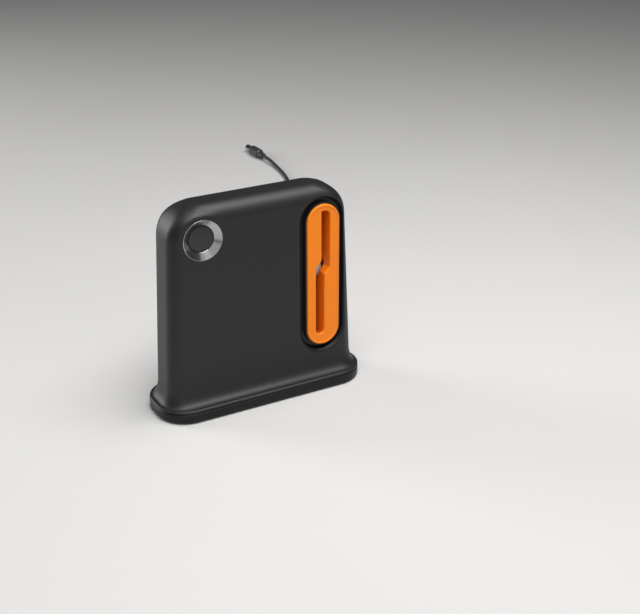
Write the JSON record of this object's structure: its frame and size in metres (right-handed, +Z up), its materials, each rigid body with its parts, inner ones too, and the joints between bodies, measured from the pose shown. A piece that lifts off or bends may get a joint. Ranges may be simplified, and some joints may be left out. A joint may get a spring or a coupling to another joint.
{
  "type": "scissors sharpener",
  "caption": "Upright electric scissors sharpener with a stepped blade slot, geared grinding wheels, push button and coiled supply lead.",
  "frame": {"origin": "middle of the resting face under the base, without the lead", "axes": "+Z up, -Y out of the front with the button and the blade guide, +X to the right seen from the front"},
  "size_m": [0.2683, 0.4366, 0.12],
  "materials": {
    "black_shell": "satin",
    "black_base": "satin",
    "button_black": "fine matt",
    "orange_plastic": "satin",
    "polished_metal": "mirror polished",
    "pad_rubber": "matt",
    "zinc_steel": "zinc plated",
    "ground_steel": "ground",
    "motor_steel": "plated sheet",
    "grey_nylon": "moulded",
    "white_nylon": "moulded",
    "bronze": "sintered",
    "brass": "machined",
    "wheel_ceramic": "fine grit",
    "magnet_ferrite": "sintered",
    "rotor_copper": "wound",
    "board_green": "solder mask",
    "switch_black": "moulded",
    "wire_sheath": "extruded",
    "lead_sheath": "extruded satin"
  },
  "bodies": {
    "body": {"housing": "black_shell", "base_plate": "black_base", "non_slip_pad": "pad_rubber", "base_screws": "zinc_steel", "chassis": "grey_nylon", "chassis_screws": "zinc_steel", "blade_guide": "orange_plastic", "button_bezel": "polished_metal", "switch_body": "switch_black", "circuit_board": "board_green", "board_screws": "zinc_steel", "motor_can": "motor_steel", "motor_magnets": "magnet_ferrite", "motor_end_cap": "white_nylon", "motor_screws": "zinc_steel", "spindle_bushes": "bronze", "supply_wires": "wire_sheath", "motor_wires": "wire_sheath", "strain_relief": "lead_sheath", "lead_from_housing": "lead_sheath", "lead_coil": "lead_sheath", "coil_tie": "pad_rubber", "lead_to_plug": "lead_sheath", "plug_grip": "lead_sheath", "plug_barrel": "polished_metal"},
    "grinding_spindle": {"spindle": "ground_steel", "spindle_gear": "white_nylon", "spindle_spacers": "zinc_steel", "upper_wheel": "wheel_ceramic", "lower_wheel": "wheel_ceramic", "retaining_clips": "zinc_steel"},
    "motor_armature": {"motor_shaft": "ground_steel", "motor_rotor": "rotor_copper", "drive_pinion": "brass"},
    "button": {"power_button": "button_black"},
    "plunger": {"switch_plunger": "white_nylon"}
  },
  "joints": [
    {"name": "button_press", "type": "slide", "parent": "body", "child": "button", "axis": [0, 1, 0], "range_m": [0, 0.0015], "stiffness_N_per_m": 400},
    {"name": "switch_press", "type": "slide", "parent": "body", "child": "plunger", "axis": [0, 1, 0], "range_m": [0, 0.0015]},
    {"name": "spindle_spin", "type": "hinge", "parent": "body", "child": "grinding_spindle", "pos_m": [0.03685, 0.0007, 0.0685], "axis": [1, 0, 0], "continuous": true},
    {"name": "motor_spin", "type": "hinge", "parent": "body", "child": "motor_armature", "pos_m": [-0.005, 0.0007, 0.05642], "axis": [1, 0, 0], "continuous": true}
  ],
  "couplings": [
    {"joint": "switch_press", "follows": "button_press", "ratio": 1},
    {"joint": "motor_spin", "follows": "spindle_spin", "ratio": -2.1667}
  ]
}
